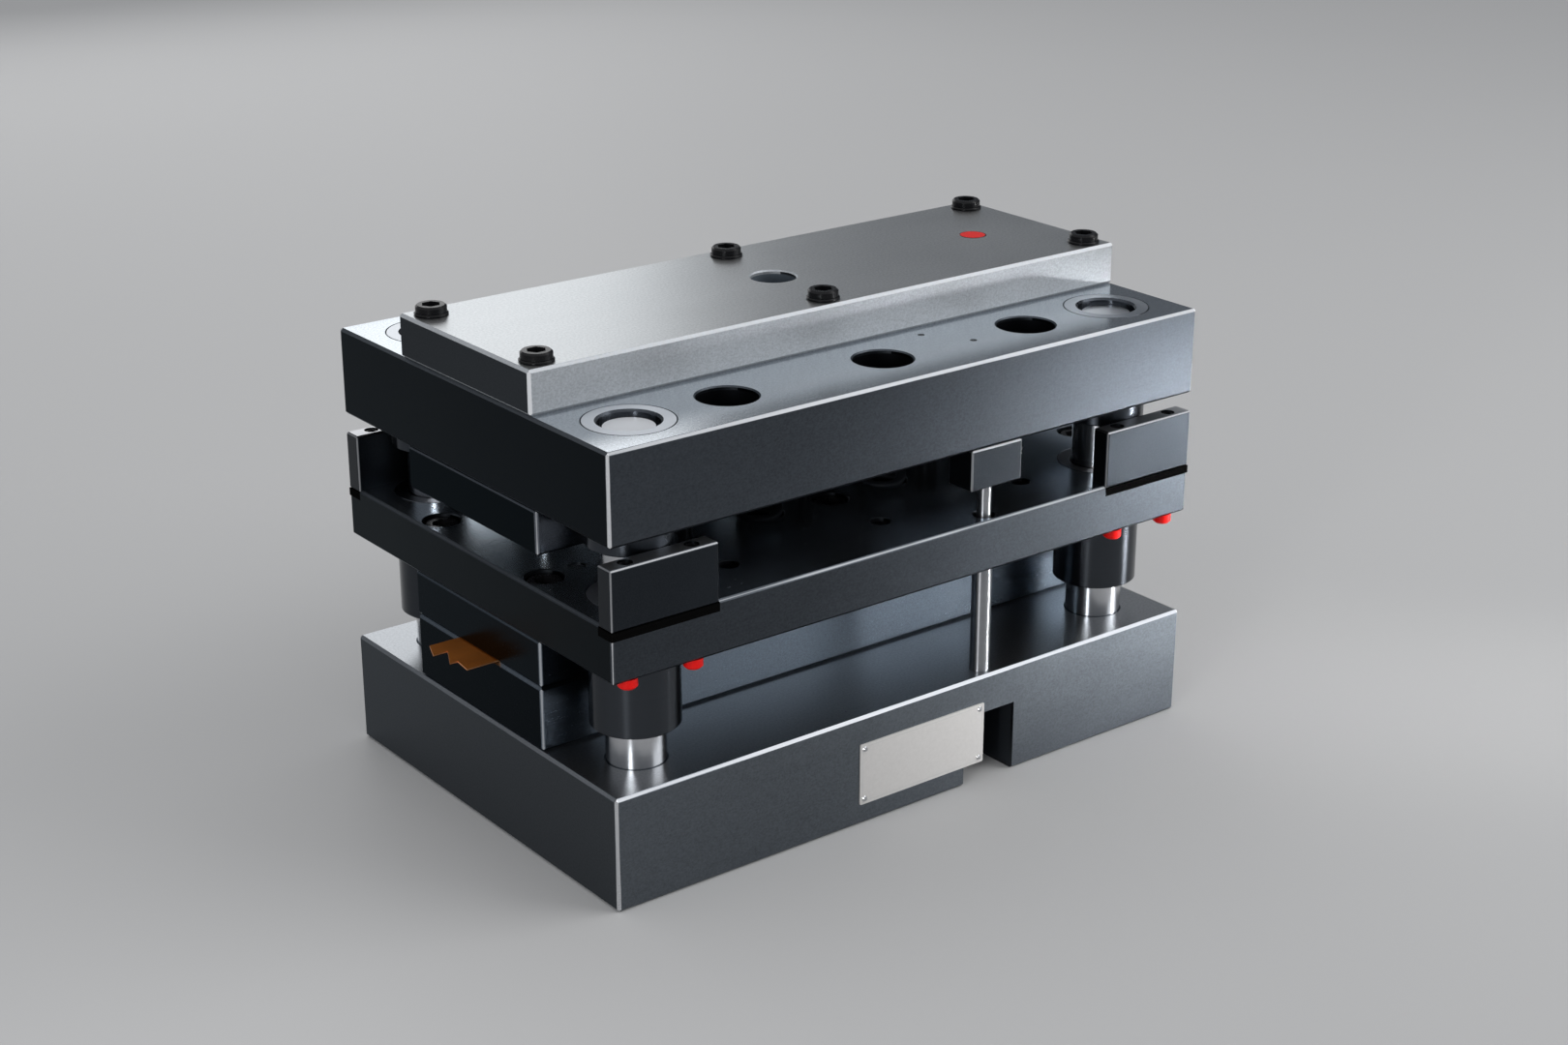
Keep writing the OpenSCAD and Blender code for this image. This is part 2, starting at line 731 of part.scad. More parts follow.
module corner_pads() {
    color("black") difference() {
        at_four(corner_x, corner_y) translate([0, 0, z_pad]) linear_extrude(pad_t)
            square([corner_l, corner_w], center = true);
        at_four_corners() bore(corner_screw_d + 2 * screw_c, z_pad, z_stripper_top);
        at_four(post_x, post_y) bore(bush_d + 2 * corner_bush_c, z_pad, z_stripper_top);
    }
}

module corner_screws() {
    length = z_corner_top - 1 - corner_head_h - z_stripper + bumper_h - 2;
    color("dimgray") at_four_corners() translate([0, 0, z_corner_top - 1]) cap_screw(corner_screw_d, length);
}

module bumpers() {
    color("red") at_four_corners() difference() {
        pin(bumper_d, z_stripper - bumper_h, z_stripper, 1.5, 0.2);
        bore(corner_screw_d + 2 * press_c, z_stripper - bumper_h + 1.5, z_stripper);
    }
}

module stripper_bolts() {
    z_seat = z_clamp - bolt_bore_h;
    color("dimgray") at(bolt_places) difference() {
        union() {
            pin(bolt_thread_d, z_stripper_top - bolt_thread, z_stripper_top + eps, 1, 0);
            pin(shoulder_d, z_stripper_top, z_seat + eps, 0.5, 0);
            pin(bolt_head_d, z_seat, z_seat + bolt_head_h, 0, 1);
        }
        translate([0, 0, z_seat + bolt_head_h / 2])
            cylinder(d = hex_d(bolt_thread_d), h = bolt_head_h, $fn = 6);
    }
}

// One spring of flat wire: the corners of its section are carried round a helix
module die_spring() {
    rings = spring_turns * spring_segments;
    r_out = spring_d / 2;
    r_in = r_out - spring_wire_w;
    low = spring_z0 + air;
    rise = spring_z1 - spring_z0 - 2 * air - spring_wire_h;
    corners = [[r_in, 0], [r_out, 0], [r_out, spring_wire_h], [r_in, spring_wire_h]];
    points = [for (k = [0:rings], c = corners)
        let (a = 360 * k / spring_segments)
            [c[0] * cos(a), c[0] * sin(a), low + c[1] + rise * k / rings]];
    sides = [for (k = [0:rings - 1], j = [0:3], half = [0, 1])
        let (a = 4 * k + j, b = 4 * k + (j + 1) % 4)
            half == 0 ? [a, b, b + 4] : [a, b + 4, a + 4]];
    last = 4 * rings;
    ends = [[2, 1, 0], [3, 2, 0], [last, last + 1, last + 2], [last, last + 2, last + 3]];
    polyhedron(points, concat(sides, ends));
}

module die_springs() {
    color("royalblue") at(spring_places) die_spring();
}

module upper_shoe() {
    color("silver") difference() {
        translate([0, 0, z_upper]) plate(die_l, die_w, upper_shoe_t);
        at_four(post_x, post_y) bore(bush_d + 2 * press_c, z_upper, z_clamp, 0.5, 0.5);
        at(ledge_places) bore(ledge_d, z_upper, z_clamp, 1, 1);
        at(bolt_places) {
            bore(bolt_head_d + 2, z_clamp - bolt_bore_h, z_clamp);
            bore(shoulder_d + 1, z_upper, z_clamp);
        }
        at(spring_places) bore(spring_d + 2 * pocket_c, z_upper, spring_z1);
        at(punch_screw_places) {
            bore(bore_d(mid_d), z_clamp - mid_d - head_sink, z_clamp);
            bore(mid_d + 2 * screw_c, z_upper, z_clamp);
        }
        at(punch_dowel_places) bore(dowel_d + 2 * press_c, z_upper, z_upper + punch_dowel_depth + blind_c);
        at_clamp_screws() bore(clamp_screw_d + 2 * press_c, z_clamp - clamp_thread - blind_c, z_clamp);
        at(ledge_pin_places) bore(ledge_pin_d + 2 * press_c, z_clamp - ledge_pin_h, z_clamp);
        for (s = [-1, 1])
            translate([probe_x + s * probe_screw_dx, probe_y, 0])
                bore(probe_screw_d + 2 * press_c, z_upper, z_upper + 18);
    }
}

module upper_bushes() {
    color("gainsboro") at_four(post_x, post_y) difference() {
        pin(bush_d, z_upper - upper_bush_drop, z_clamp, 1, 0.5);
        bore(post_d + 2 * run_c, z_upper - upper_bush_drop, z_clamp, 1.5, 1.5);
    }
}

module punch_plate() {
    color("gray") difference() {
        translate([0, 0, z_punch_plate]) plate(block_l, clamp_w, punch_plate_t);
        translate([0, 0, z_punch_plate - 1]) linear_extrude(punch_plate_t + 2) shank_outlines(press_c);
        translate([0, 0, z_upper - punch_head_h]) linear_extrude(punch_head_h + 1) head_outlines(head_c);
        at(bolt_places) bore(shoulder_d + 1, z_punch_plate, z_upper);
        at(spring_places) bore(spring_d + 2 * pocket_c, z_punch_plate, z_upper);
        at(punch_screw_places) bore(mid_d + 2 * press_c, z_upper - mid_thread - blind_c, z_upper);
        at(punch_dowel_places) bore(dowel_d + 2 * press_c, z_punch_plate, z_upper);
        at_four(post_x, post_y) bore(bush_d + 2 * bush_c, z_punch_plate, z_upper);
    }
}

module punch_plate_screws() {
    color("dimgray") at(punch_screw_places) translate([0, 0, z_clamp - head_sink])
        cap_screw(mid_d, upper_shoe_t - mid_d - head_sink + mid_thread);
}

module punch_plate_dowels() {
    color("silver") at(punch_dowel_places)
        pin(dowel_d, z_punch_plate + punch_dowel_gap, z_upper + punch_dowel_depth, 1, 1);
}

module round_punches() {
    color("gainsboro") {
        at_pierce() round_punch(pilot_d);
        at_hole() round_punch(hole_d);
        at_small() round_punch(small_d, head_lip);
    }
}

module slot_punch() {
    color("gainsboro") at_slot() shaped_punch() {
        slot_point(0);
        circle(d = slot_shank_d);
        circle(d = slot_shank_d + 2 * head_lip);
    }
}

module trim_punches() {
    color("gainsboro") at_trims() shaped_punch() {
        trim_point(0);
        trim_point(trim_shank_c);
        trim_point(trim_shank_c + head_lip);
    }
}

module blanking_punch() {
    color("gainsboro") at_blank() shaped_punch() {
        blank_point(0);
        blank_point(blank_shank_c);
        blank_point(blank_shank_c + head_lip);
    }
}

module pilots() {
    r = pilot_d / 2 - pilot_pin_c;
    shank_r = pilot_d / 2 + shank_wall;
    color("gainsboro") at_pilots() rotate_extrude()
        polygon([[0, z_pilot_tip], [r * 0.4, z_pilot_tip], [r, z_pilot_tip + pilot_nose_h],
            [r, z_shank_end - shank_wall], [shank_r, z_shank_end], [shank_r, z_upper - punch_head_h],
            [shank_r + head_lip, z_upper - punch_head_h], [shank_r + head_lip, z_upper], [0, z_upper]]);
}

module probe_block() {
    depth = 2 * probe_side;
    color("darkgray") difference() {
        translate([probe_x, probe_y, z_upper - probe_block_h])
            plate(probe_block_l, depth, probe_block_h, probe_block_c);
        translate([probe_x, probe_y, 0])
            bore(probe_d + 2 * press_c, z_upper - probe_block_h, z_upper - probe_pin_sink);
        for (s = [-1, 1])
            translate([probe_x + s * probe_screw_dx, probe_y, 0]) {
                bore(probe_screw_d + 2 * screw_c, z_upper - probe_block_h, z_upper);
                bore(bore_d(probe_screw_d), z_upper - probe_block_h,
                    z_upper - probe_block_h + probe_screw_d + 1);
            }
    }
}

module probe_block_screws() {
    color("dimgray") for (s = [-1, 1])
        translate([probe_x + s * probe_screw_dx, probe_y, z_upper - probe_block_h + 1])
            rotate([180, 0, 0]) cap_screw(probe_screw_d, probe_block_h - probe_screw_d - 1 + 15);
}

module probe_pin() {
    color("gainsboro") translate([probe_x, probe_y, 0])
        pin(probe_d, z_pin_end, z_upper - probe_pin_sink, 1.5, 0.5);
}

module ledge_pins() {
    color("dimgray") at(ledge_pin_places) pin(ledge_pin_d, z_clamp - ledge_pin_h, z_clamp - 0.2, 0.5, 0.4);
}

module at_clamp_screws() {
    at_four(clamp_screw_x, clamp_screw_y) children();
    for (s = [-1, 1])
        translate([s * clamp_mid_dx, s * clamp_screw_y, 0]) children();
}

module clamp_plate() {
    color("whitesmoke") difference() {
        translate([0, 0, z_clamp]) plate(die_l, clamp_w, clamp_t);
        bore(centre_d, z_clamp, z_top, 0, 1);
        at_clamp_screws() bore(clamp_screw_d + 2 * screw_c, z_clamp, z_top);
        translate([plug_x, 0, 0]) bore(plug_d + 2 * press_c, z_top - plug_t, z_top);
    }
}

module clamp_washers() {
    color("black") at_clamp_screws() difference() {
        pin(washer_d, z_top, z_top + washer_t, 0.5, 0.7);
        bore(clamp_screw_d + screw_c, z_top, z_top + washer_t);
    }
}

module clamp_screws() {
    length = washer_t + clamp_t + clamp_thread;
    color("black") at_clamp_screws() translate([0, 0, z_top + washer_t + clamp_head_h])
        cap_screw(clamp_screw_d, length, clamp_head_d, clamp_head_h);
}

module marker_plug() {
    color("red") translate([plug_x, 0, 0]) pin(plug_d, z_top - plug_t, z_top + 0.2, 0.3, 0.3);
}

lower_shoe();
guide_posts();
die_block();
die_buttons();
die_block_screws();
die_block_dowels();
stock_guides();
strip();
probe_sleeve();
nameplate();
nameplate_rivets();
stripper_plate();
stripper_bushes();
stripper_insert();
insert_screws();
insert_dowels();
corner_blocks();
corner_pads();
corner_screws();
bumpers();
stripper_bolts();
die_springs();
upper_shoe();
upper_bushes();
punch_plate();
punch_plate_screws();
punch_plate_dowels();
round_punches();
slot_punch();
trim_punches();
blanking_punch();
pilots();
probe_block();
probe_block_screws();
probe_pin();
ledge_pins();
clamp_plate();
clamp_washers();
clamp_screws();
marker_plug();
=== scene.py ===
import math

import bmesh
import bpy
from mathutils import Matrix, Vector


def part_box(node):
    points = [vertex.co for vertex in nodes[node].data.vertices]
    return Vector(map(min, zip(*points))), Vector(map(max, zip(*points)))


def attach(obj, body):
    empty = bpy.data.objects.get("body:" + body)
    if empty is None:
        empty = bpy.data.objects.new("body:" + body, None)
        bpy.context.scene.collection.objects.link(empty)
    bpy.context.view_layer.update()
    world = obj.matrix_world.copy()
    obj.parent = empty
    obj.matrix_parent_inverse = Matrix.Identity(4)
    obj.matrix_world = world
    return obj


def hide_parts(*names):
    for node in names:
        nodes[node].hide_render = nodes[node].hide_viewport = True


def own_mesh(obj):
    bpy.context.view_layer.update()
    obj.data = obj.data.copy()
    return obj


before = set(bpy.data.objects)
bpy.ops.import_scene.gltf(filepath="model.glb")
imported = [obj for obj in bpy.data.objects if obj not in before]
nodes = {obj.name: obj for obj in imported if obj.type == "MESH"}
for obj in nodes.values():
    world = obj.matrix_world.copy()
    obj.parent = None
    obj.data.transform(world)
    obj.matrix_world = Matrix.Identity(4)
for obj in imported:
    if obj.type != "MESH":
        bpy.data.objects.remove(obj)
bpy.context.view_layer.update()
scene = bpy.context.scene
scene.view_settings.view_transform = "Standard"

# Camera. It stands to the front left of the die and looks down on it at 21 degrees, with the
# long lens of a product photograph.
camera_data = bpy.data.cameras.new("camera")
camera_data.lens = 58.69
camera_data.sensor_width = 36
camera_data.clip_end = 100
camera = bpy.data.objects.new("camera", camera_data)
scene.collection.objects.link(camera)
camera_azimuth = math.radians(37.71)
camera_elevation = math.radians(21.06)
camera.location = (-1.0396, -1.3568, 0.8158)
camera.rotation_euler = Vector((
    math.sin(camera_azimuth) * math.cos(camera_elevation),
    math.cos(camera_azimuth) * math.cos(camera_elevation),
    -math.sin(camera_elevation),
)).to_track_quat("-Z", "Y").to_euler()
scene.camera = camera


# Studio floor. A smooth pale board that the die stands on, large enough to fill every view, with
# a faint sheen.
class Value:
    """A socket that can be used in sums. Each operator adds the Math node that it stands for."""

    def __init__(self, finish, socket):
        self.finish = finish
        self.socket = socket

    def math(self, operation, *others):
        sockets = dict(enumerate((self,) + others))
        return self.finish.node("ShaderNodeMath", {"operation": operation}, sockets)

    def __add__(self, other):
        return self.math("ADD", other)

    def __sub__(self, other):
        return self.math("SUBTRACT", other)

    def __rsub__(self, other):
        return (self * -1) + other

    def __mul__(self, other):
        return self.math("MULTIPLY", other)

    __radd__ = __add__
    __rmul__ = __mul__

    def smaller(self, other):
        return self.math("MINIMUM", other)

    def larger(self, other):
        return self.math("MAXIMUM", other)

    def size(self):
        return self.math("ABSOLUTE")

    def length_with(self, other):
        return (self * self + other * other).math("SQRT")

    def rising(self, low, high):
        """0 below low, 1 above high and smooth between them."""
        limits = {"Value": self, "From Min": low, "From Max": high}
        return self.finish.node("ShaderNodeMapRange", {"interpolation_type": "SMOOTHSTEP"}, limits)

    def square_on(self):
        """1 on the faces that look along an axis, given how far they look along it."""
        return self.rising(0.8, 0.85)


class Finish:
    """A material: one shader and the nodes that vary it over the surface."""

    def __init__(self, name, colour, roughness, metallic=1.0, **constants):
        self.material = bpy.data.materials.new(name)
        self.material.use_nodes = True
        self.tree = self.material.node_tree
        self.shader = self.tree.nodes["Principled BSDF"]
        self.set("Base Color", (*colour, 1))
        self.set("Roughness", roughness)
        self.set("Metallic", metallic)
        for socket, value in constants.items():
            self.set(socket.replace("_", " "), value)

    def plug(self, socket, value):
        if isinstance(value, Value):
            self.tree.links.new(value.socket, socket)
        else:
            socket.default_value = value

    def set(self, socket, value):
        self.plug(self.shader.inputs[socket], value)

    def node(self, kind, settings, sockets, output=0):
        made = self.tree.nodes.new(kind)
        for name, value in settings.items():
            setattr(made, name, value)
        for name, value in sockets.items():
            self.plug(made.inputs[name], value)
        return Value(self, made.outputs[output])

    def place(self):
        """The three coordinates of a point in the die's own frame, in metres."""
        point = self.node("ShaderNodeTexCoord", {}, {}, "Object")
        split = self.node("ShaderNodeSeparateXYZ", {}, {0: point})
        return [Value(self, output) for output in split.socket.node.outputs]

    def facing(self):
        """How far a face looks along each axis, from -1 to 1."""
        look = self.node("ShaderNodeNewGeometry", {}, {}, "True Normal")
        split = self.node("ShaderNodeSeparateXYZ", {}, {0: look})
        return [Value(self, output) for output in split.socket.node.outputs]

    def grain(self, scale, detail=2.0, rough=0.5):
        """Noise with its own scale along each axis, in waves per metre."""
        point = self.node("ShaderNodeTexCoord", {}, {}, "Object")
        stretched = self.node("ShaderNodeMapping", {}, {"Vector": point, "Scale": scale})
        sockets = {"Vector": stretched, "Scale": 1.0, "Detail": detail, "Roughness": rough}
        return self.node("ShaderNodeTexNoise", {}, sockets)

    def mixed(self, factor, first, second):
        sockets = {0: factor, 6: self.as_colour(first), 7: self.as_colour(second)}
        return self.node("ShaderNodeMix", {"data_type": "RGBA"}, sockets, 2)

    def as_colour(self, colour):
        return colour if isinstance(colour, Value) else (*colour, 1)

    def bump(self, height, strength, distance):
        sockets = {"Height": height, "Strength": strength, "Distance": distance}
        self.set("Normal", self.node("ShaderNodeBump", {}, sockets))

    def give(self, *names):
        for name in names:
            piece = nodes[name] if isinstance(name, str) else name
            piece.data.materials.clear()
            piece.data.materials.append(self.material)


def piece_from(name, shape):
    mesh = bpy.data.meshes.new(name)
    shape.to_mesh(mesh)
    shape.free()
    made = bpy.data.objects.new(name, mesh)
    scene.collection.objects.link(made)
    return made


floor_half_width = 20
floor_gap = 0.0002
floor_shape = bmesh.new()
bmesh.ops.create_grid(floor_shape, x_segments=1, y_segments=1, size=floor_half_width)
bmesh.ops.translate(floor_shape, verts=floor_shape.verts, vec=(0, 0, -floor_gap))
floor = piece_from("floor", floor_shape)
board = Finish("floor_board", (0.47, 0.47, 0.47), 0.5, 0.0, Specular_IOR_Level=0.07)
board.set("Roughness", board.grain((3, 3, 3)) * 0.06 + 0.48)
board.give(floor)

# Lamps. A pale ceiling and four plain soft boxes: a wide one behind the die, which lies in the
# reflection of its flat tops, a large one high at the right front with a small gridded one low
# before it, and a narrow one at the left front, which draws the streaks on posts and corners.
world = bpy.data.worlds.new("studio")
scene.world = world
world.use_nodes = True
sky = world.node_tree.nodes
sky_links = world.node_tree.links
direction = sky.new("ShaderNodeTexCoord")
height = sky.new("ShaderNodeSeparateXYZ")
sky_links.new(direction.outputs["Generated"], height.inputs[0])
ramp = sky.new("ShaderNodeValToRGB")
sky_links.new(height.outputs["Z"], ramp.inputs[0])
wall, ceiling = ramp.color_ramp.elements
wall.position = 0.35
wall.color = (0.11, 0.12, 0.135, 1)
ceiling.position = 0.85
ceiling.color = (0.95, 0.96, 0.98, 1)
sky_links.new(ramp.outputs["Color"], sky["Background"].inputs["Color"])
sky["Background"].inputs["Strength"].default_value = 1.0


def soft_box(name, place, aim, width, height, power, spread=180):
    data = bpy.data.lights.new(name, "AREA")
    data.shape = "RECTANGLE"
    data.size = width
    data.size_y = height
    data.energy = power
    data.spread = math.radians(spread)
    lamp = bpy.data.objects.new(name, data)
    scene.collection.objects.link(lamp)
    lamp.location = place
    lamp.rotation_euler = (Vector(aim) - Vector(place)).to_track_quat("-Z", "Y").to_euler()
    lamp.visible_camera = False


soft_box("lamp_back", (0.6, 2.9, 1.25), (0, 0, 0.3), 2.4, 1.5, 17)
soft_box("lamp_right", (1.9, -1.6, 1.75), (0, 0, 0.2), 2.2, 2.4, 40)
soft_box("lamp_low", (1.02, -0.89, 0.08), (0.31, -0.16, 0.105), 0.28, 0.11, 0.7, 23)
soft_box("lamp_left", (-1.3, -0.85, 0.5), (0, 0, 0.2), 0.2, 0.5, 1.9, 90)


# Lower shoe. A thick plate of steel, surface ground on its flats, with milled ends and bevelled
# edges. As painted light and shade, its top is painted light and its ends and underside dark, and
# its edges, worn bright by handling, are painted brighter still as a painted highlight.
bright_edge_fade = 0.0004
bright_edge_wander = 0.0014
bore_shade_depth = 0.0024
bore_shade_fade = 0.0006
darkest_grain = 0.55


def ground_steel(name, node, ends, sides, flats, roughness=0.34, flat_roughness=0.3, bright_edge_width=0.0017,
                 bore_oil_and_shade_colour=(0.008, 0.009, 0.011), edge=(0.56, 0.57, 0.59), relief=0.22, rim=0.45,
                 end_rim=0.1, tint=0.7):
    """Ground plate with painted light and shade: light top, dark ends and underside, bright edges.

    The top is painted lighter and the ends and underside darker than the sides, as painted light and
    shade, and each plate's tones are also set lighter or darker to match how brightly it is lit. The
    bores are dull oily walls, darkened further as painted shade. bright_edge_width is the width of
    the bright corners in metres, which are worn by handling and painted brighter as a painted
    highlight, and rim and end_rim say how bright the edges of the long sides and of the ends are
    against them. tint dulls what a face mirrors at a flat angle.
    """
    low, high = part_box(node)
    centre = (low + high) / 2
    half = (high - low) / 2
    steel = Finish(name, sides, roughness, Specular_Tint=(tint * 0.92, tint * 0.97, tint, 1))
    place = steel.place()
    inside = [half[i] - (place[i] - centre[i]).size() for i in range(3)]
    facing = steel.facing()
    on_end = facing[0].size().square_on()
    on_top = facing[2].square_on()
    on_flat = facing[2].size().square_on()
    from_side = inside[0].smaller(inside[1])
    depth = from_side.smaller(inside[2])
    below_top = high.z - place[2]
    fine = steel.grain((600, 600, 800), 4, 0.7)
    streaks = steel.grain((9, 900, 900), 2)
    cloud = steel.grain((7, 11, 11), 3, 0.6)
    wander = (cloud - 0.5) * bright_edge_wander
    # The bright corners and edges below are handling wear and also a painted highlight.
    corner = 1 - (inside[0].larger(inside[1]) + wander).rising(bright_edge_width, bright_edge_width + bright_edge_fade)
    side_edge = 1 - (inside[1].larger(below_top) + wander).rising(bright_edge_width, bright_edge_width + bright_edge_fade)
    end_edge = 1 - (inside[0].larger(below_top) + wander).rising(bright_edge_width, bright_edge_width + bright_edge_fade)
    worn_and_highlit = corner.larger(side_edge * rim).larger(end_edge * end_rim)
    # Bore walls: dull and oily, and darkened further as painted shade.
    bore_oil_and_shade = depth.rising(bore_shade_depth, bore_shade_depth + bore_shade_fade)
    # Painted light and shade: tops painted lighter, ends and underside darker, than the sides.
    painted_face_tone = steel.mixed(on_top, steel.mixed(on_end.larger(on_flat), sides, ends), flats)
    shade = fine * 1.3 + streaks * 0.15 + (cloud * 0.3 - 0.37)
    ground = steel.mixed(shade, steel.mixed(darkest_grain, painted_face_tone, (0, 0, 0)), painted_face_tone)
    edged = steel.mixed(worn_and_highlit, ground, edge)
    steel.set("Base Color", steel.mixed(bore_oil_and_shade, edged, bore_oil_and_shade_colour))
    grained = (streaks * 0.1 + fine * 0.14 + cloud * 0.12) * (1 - on_flat * 0.6)
    level = on_flat * (flat_roughness - roughness + 0.1) + (roughness - 0.18)
    steel.set("Roughness", grained + level + bore_oil_and_shade * 0.2 - worn_and_highlit * 0.06)
    steel.bump((fine * 0.8 + streaks * 0.5) * (1 - on_flat * 0.96), relief, 0.00012)
    steel.give(node)
    return steel


ground_steel("shoe_steel_lower", "lower_shoe", (0.09, 0.098, 0.11), (0.17, 0.19, 0.214),
             (0.5, 0.51, 0.53), 0.36, bore_oil_and_shade_colour=(0.06, 0.068, 0.08), end_rim=0.25, tint=0.95)


# Guide posts. Four hardened and ground shafts of 40 mm, pressed into the lower shoe. The bushes of
# both upper plates run on them.
def polished_shaft(name, *pieces, colour=(0.5, 0.51, 0.53), roughness=0.2, lit_top=(0.85, 0.86, 0.88)):
    """Round ground steel: each highlight is drawn out along the shaft by its fine rings. The top
    faces are painted lighter than the sides, as painted light.
    """
    shaft = Finish(name, colour, roughness, Anisotropic=0.9, Anisotropic_Rotation=0.25)
    rings = shaft.grain((4, 4, 700), 2)
    slides = shaft.grain((500, 500, 12), 2)
    cloud = shaft.grain((18, 18, 14), 1)
    on_top = shaft.facing()[2].square_on()
    dark = tuple(c * 0.8 for c in colour)
    side = shaft.mixed(rings * 0.6 + cloud * 0.4, dark, colour)
    # The top faces are painted lighter, as painted light.
    shaft.set("Base Color", shaft.mixed(on_top, side, lit_top))
    shaft.set("Roughness", slides * 0.06 + cloud * 0.1 + on_top * 0.12 + (roughness - 0.08))
    shaft.bump(cloud, 0.02, 0.0001)
    shaft.give(*pieces)


polished_shaft("post_steel", "guide_posts", colour=(0.6, 0.61, 0.63))

# Die block. Hardened tool steel, ground and polished nearly to a mirror, screwed and dowelled on
# the lower shoe. Its edges are honed.
ground_steel("block_steel", "die_block", (0.004, 0.0055, 0.008), (0.16, 0.192, 0.23),
             (0.14, 0.15, 0.17), 0.24, 0.18, 0.0013, edge=(0.4, 0.42, 0.45), relief=0.06, tint=0.7)

# Die buttons, screws, dowels and stock guides of the die block: fine ground punch steel, and
# screws blackened in oil.
punch_steel = Finish("punch_steel", (0.62, 0.63, 0.65), 0.2)
punch_rings = punch_steel.grain((60, 60, 1500), 2)
punch_cloud = punch_steel.grain((60, 60, 60), 2)
punch_steel.set("Base Color", punch_steel.mixed(punch_cloud, (0.5, 0.51, 0.53), (0.66, 0.67, 0.68)))
punch_steel.set("Roughness", punch_rings * 0.1 + punch_cloud * 0.08 + 0.12)
punch_steel.bump(punch_rings, 0.1, 0.00005)
punch_steel.give("die_buttons", "die_block_dowels", "stock_guides", "nameplate_rivets", "insert_dowels",
                 "punch_plate_dowels", "round_punches", "slot_punch", "trim_punches",
                 "blanking_punch", "pilots")

black_oxide = Finish("black_oxide", (0.008, 0.008, 0.009), 0.3, 0.0, Specular_IOR_Level=0.14)
oxide_speck = black_oxide.grain((900, 900, 900), 3)
oxide_cloud = black_oxide.grain((90, 90, 90), 2)
oxide_tone = black_oxide.mixed(oxide_cloud, (0.004, 0.004, 0.005), (0.01, 0.01, 0.011))
black_oxide.set("Base Color", oxide_tone)
black_oxide.set("Roughness", oxide_speck * 0.14 + oxide_cloud * 0.1 + 0.14)
black_oxide.bump(oxide_speck, 0.2, 0.0001)
black_oxide.give("die_block_screws", "insert_screws", "corner_screws", "stripper_bolts",
                 "punch_plate_screws", "probe_block_screws", "ledge_pins", "clamp_washers",
                 "clamp_screws")

# Strip. Rolled copper 48 mm wide and 1 mm thick, with the sheen of the rolls along it and bright
# sheared edges.
copper = Finish("copper", (0.6, 0.25, 0.1), 0.3)
rolled = copper.grain((14, 700, 100), 2)
tarnish = copper.grain((40, 60, 60), 3, 0.6)
strip_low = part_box("strip")[0]
strip_above = copper.place()[2] - strip_low.z
sheared = strip_above.rising(0.0001, 0.0002) - strip_above.rising(0.0008, 0.0009)
skin = copper.mixed(tarnish * 0.7 + rolled * 0.3, (0.6, 0.19, 0.03), (0.8, 0.29, 0.06))
copper.set("Base Color", copper.mixed(sheared, skin, (0.85, 0.42, 0.2)))
copper.set("Roughness", rolled * 0.16 + tarnish * 0.08 + 0.34)
copper.bump(rolled, 0.15, 0.0001)
copper.give("strip")

# Probe sleeve. A thin polished steel tube pressed into the lower shoe, in which the probe pin
# slides.
polished_shaft("sleeve_steel", "probe_sleeve", colour=(0.4, 0.41, 0.43), roughness=0.34)

# Nameplate. A bare plate of painted aluminium with a fine line pressed in round its rim, held by
# four small rivets.
plate_low, plate_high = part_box("nameplate")
plate_paint = Finish("nameplate_paint", (0.6, 0.6, 0.59), 0.45, 0.0)
plate_x, _, plate_z = plate_paint.place()
plate_middle = (plate_low + plate_high) / 2
to_end = (plate_high.x - plate_middle.x) - (plate_x - plate_middle.x).size()
to_top = (plate_high.z - plate_middle.z) - (plate_z - plate_middle.z).size()
to_rim = to_end.smaller(to_top)
line = to_rim.rising(0.0019, 0.0021) - to_rim.rising(0.0023, 0.0025)
plate_speck = plate_paint.grain((500, 500, 500), 3)
paint_tone = plate_paint.mixed(plate_speck, (0.43, 0.42, 0.41), (0.5, 0.49, 0.48))
plate_paint.set("Base Color", plate_paint.mixed(line * 0.55, paint_tone, (0.35, 0.35, 0.36)))
plate_paint.set("Roughness", plate_speck * 0.15 + 0.3)
plate_paint.bump(plate_speck * 0.2 - line, 0.3, 0.0001)
plate_paint.give("nameplate")

# Stripper plate. A ground steel plate that rides on the posts and presses the strip down before
# the punches enter it.
ground_steel("stripper_steel", "stripper_plate", (0.005, 0.007, 0.009), (0.065, 0.074, 0.086),
             (0.6, 0.67, 0.75), 0.36, 0.26, 0.0011, relief=0.14, rim=0.3, end_rim=0.06, tint=0.9)

# Stripper bushes. Hardened sleeves pressed into the stripper, polished inside and out, that guide
# it on the posts.
polished_shaft("bush_steel", "stripper_bushes", colour=(0.055, 0.061, 0.07), roughness=0.2,
               lit_top=(0.12, 0.13, 0.15))

# Stripper insert. Hardened tool steel like the die block, screwed under the stripper, with the
# guiding windows of the punches.
ground_steel("insert_steel", "stripper_insert", (0.012, 0.015, 0.019), (0.1, 0.122, 0.15),
             (0.14, 0.15, 0.17), 0.24, 0.18, 0.0013, edge=(0.4, 0.42, 0.45), relief=0.06, tint=0.7)


# Corner blocks. Four satin steel stops that stand on pads in the corners of the stripper, with a
# round hollow behind that clears the bush. Screws sunk in their tops hold them.
block_edge = 0.001
block_edge_fade = 0.0003


